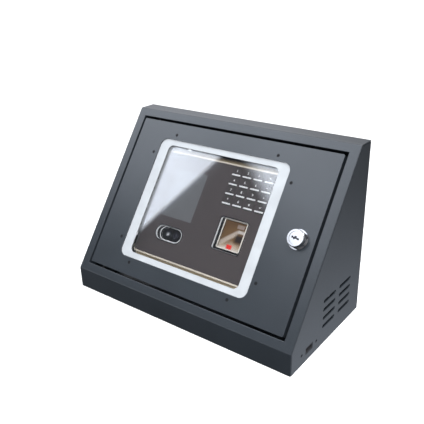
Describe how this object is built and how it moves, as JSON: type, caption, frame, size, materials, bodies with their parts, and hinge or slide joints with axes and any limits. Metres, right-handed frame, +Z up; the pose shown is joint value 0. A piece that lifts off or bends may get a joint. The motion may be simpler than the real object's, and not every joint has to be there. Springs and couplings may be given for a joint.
{
  "type": "fingerprint scanner terminal",
  "caption": "Fingerprint and face terminal with keypad and display, inside a lockable sloped steel desk case with a hinged window door.",
  "frame": {"origin": "middle of the base, on the surface that the case stands on", "axes": "+X to the right as the user sees it, the sloped door faces -Y and up, +Z up"},
  "size_m": [0.3, 0.15, 0.2],
  "materials": {
    "case_paint": "fine powder coat, satin",
    "zinc_plate": "zinc plated",
    "fastener_steel": "zinc plated",
    "dark_screws": "blackened",
    "soft_rubber": "matt",
    "port_plastic": "moulded",
    "white_frame": "satin",
    "clear_pane": "clear, polished",
    "lock_chrome": "bright chrome",
    "shell_plastic": "fine texture",
    "face_gloss": "piano gloss",
    "trim_line": "bright line",
    "display": "dark display",
    "bezel_plastic": "gloss",
    "lens": "polished",
    "circuit_board": "solder mask",
    "prism": "amber, polished",
    "lamp": "lit red",
    "dome_rubber": "matt",
    "speaker_metal": "satin",
    "key_plastic": "gloss with a white bar"
  },
  "bodies": {
    "case": {"front_wrap": "case_paint", "base_plate": "case_paint", "side_panel_left": "case_paint", "side_panel_right": "case_paint", "rear_cover": "case_paint", "rear_screws": "fastener_steel", "cable_grommet": "soft_rubber", "mount_rail": "zinc_plate", "hinge_pins": "zinc_plate", "port_socket": "port_plastic", "port_screws": "dark_screws", "front_shell": "shell_plastic", "rear_shell": "shell_plastic", "wall_plate": "zinc_plate", "wall_plate_screws": "fastener_steel", "face_panel": "face_gloss", "face_trim": "trim_line", "lcd_module": "display", "camera_bezel": "bezel_plastic", "camera_lenses": "lens", "camera_board": "circuit_board", "finger_bezel": "bezel_plastic", "sensor_prism": "prism", "sensor_lamp": "lamp", "sensor_board": "circuit_board", "keypad_board": "circuit_board", "key_domes": "dome_rubber", "main_board": "circuit_board", "speaker": "speaker_metal", "shell_screws": "fastener_steel"},
    "door": {"door_panel": "case_paint", "window_frame": "white_frame", "window_pane": "clear_pane", "window_retainer": "zinc_plate", "window_screws": "dark_screws", "window_nuts": "fastener_steel", "lock_barrel": "lock_chrome", "lock_nut": "fastener_steel"},
    "lock": {"lock_plug": "lock_chrome", "lock_cam": "fastener_steel", "cam_screw": "fastener_steel"},
    "key_1": {"key_1": "key_plastic"},
    "key_2": {"key_2": "key_plastic"},
    "key_3": {"key_3": "key_plastic"},
    "key_back": {"key_back": "key_plastic"},
    "key_4": {"key_4": "key_plastic"},
    "key_5": {"key_5": "key_plastic"},
    "key_6": {"key_6": "key_plastic"},
    "key_up": {"key_up": "key_plastic"},
    "key_7": {"key_7": "key_plastic"},
    "key_8": {"key_8": "key_plastic"},
    "key_9": {"key_9": "key_plastic"},
    "key_down": {"key_down": "key_plastic"},
    "key_star": {"key_star": "key_plastic"},
    "key_0": {"key_0": "key_plastic"},
    "key_hash": {"key_hash": "key_plastic"},
    "key_enter": {"key_enter": "key_plastic"}
  },
  "joints": [
    {"name": "door_hinge", "type": "hinge", "parent": "case", "child": "door", "pos_m": [-0.118, -0.00592, 0.10944], "axis": [0, -0.5941, -0.8044], "range_deg": [0, 120]},
    {"name": "lock_turn", "type": "hinge", "parent": "door", "child": "lock", "pos_m": [0.118, -0.01075, 0.113], "axis": [0, -0.8044, 0.5941], "range_deg": [0, 90]},
    {"name": "key_1_press", "type": "slide", "parent": "case", "child": "key_1", "axis": [0, 0.8044, -0.5941], "range_m": [0, 0.0008], "stiffness_N_per_m": 500},
    {"name": "key_2_press", "type": "slide", "parent": "case", "child": "key_2", "axis": [0, 0.8044, -0.5941], "range_m": [0, 0.0008], "stiffness_N_per_m": 500},
    {"name": "key_3_press", "type": "slide", "parent": "case", "child": "key_3", "axis": [0, 0.8044, -0.5941], "range_m": [0, 0.0008], "stiffness_N_per_m": 500},
    {"name": "key_back_press", "type": "slide", "parent": "case", "child": "key_back", "axis": [0, 0.8044, -0.5941], "range_m": [0, 0.0008], "stiffness_N_per_m": 500},
    {"name": "key_4_press", "type": "slide", "parent": "case", "child": "key_4", "axis": [0, 0.8044, -0.5941], "range_m": [0, 0.0008], "stiffness_N_per_m": 500},
    {"name": "key_5_press", "type": "slide", "parent": "case", "child": "key_5", "axis": [0, 0.8044, -0.5941], "range_m": [0, 0.0008], "stiffness_N_per_m": 500},
    {"name": "key_6_press", "type": "slide", "parent": "case", "child": "key_6", "axis": [0, 0.8044, -0.5941], "range_m": [0, 0.0008], "stiffness_N_per_m": 500},
    {"name": "key_up_press", "type": "slide", "parent": "case", "child": "key_up", "axis": [0, 0.8044, -0.5941], "range_m": [0, 0.0008], "stiffness_N_per_m": 500},
    {"name": "key_7_press", "type": "slide", "parent": "case", "child": "key_7", "axis": [0, 0.8044, -0.5941], "range_m": [0, 0.0008], "stiffness_N_per_m": 500},
    {"name": "key_8_press", "type": "slide", "parent": "case", "child": "key_8", "axis": [0, 0.8044, -0.5941], "range_m": [0, 0.0008], "stiffness_N_per_m": 500},
    {"name": "key_9_press", "type": "slide", "parent": "case", "child": "key_9", "axis": [0, 0.8044, -0.5941], "range_m": [0, 0.0008], "stiffness_N_per_m": 500},
    {"name": "key_down_press", "type": "slide", "parent": "case", "child": "key_down", "axis": [0, 0.8044, -0.5941], "range_m": [0, 0.0008], "stiffness_N_per_m": 500},
    {"name": "key_star_press", "type": "slide", "parent": "case", "child": "key_star", "axis": [0, 0.8044, -0.5941], "range_m": [0, 0.0008], "stiffness_N_per_m": 500},
    {"name": "key_0_press", "type": "slide", "parent": "case", "child": "key_0", "axis": [0, 0.8044, -0.5941], "range_m": [0, 0.0008], "stiffness_N_per_m": 500},
    {"name": "key_hash_press", "type": "slide", "parent": "case", "child": "key_hash", "axis": [0, 0.8044, -0.5941], "range_m": [0, 0.0008], "stiffness_N_per_m": 500},
    {"name": "key_enter_press", "type": "slide", "parent": "case", "child": "key_enter", "axis": [0, 0.8044, -0.5941], "range_m": [0, 0.0008], "stiffness_N_per_m": 500}
  ]
}
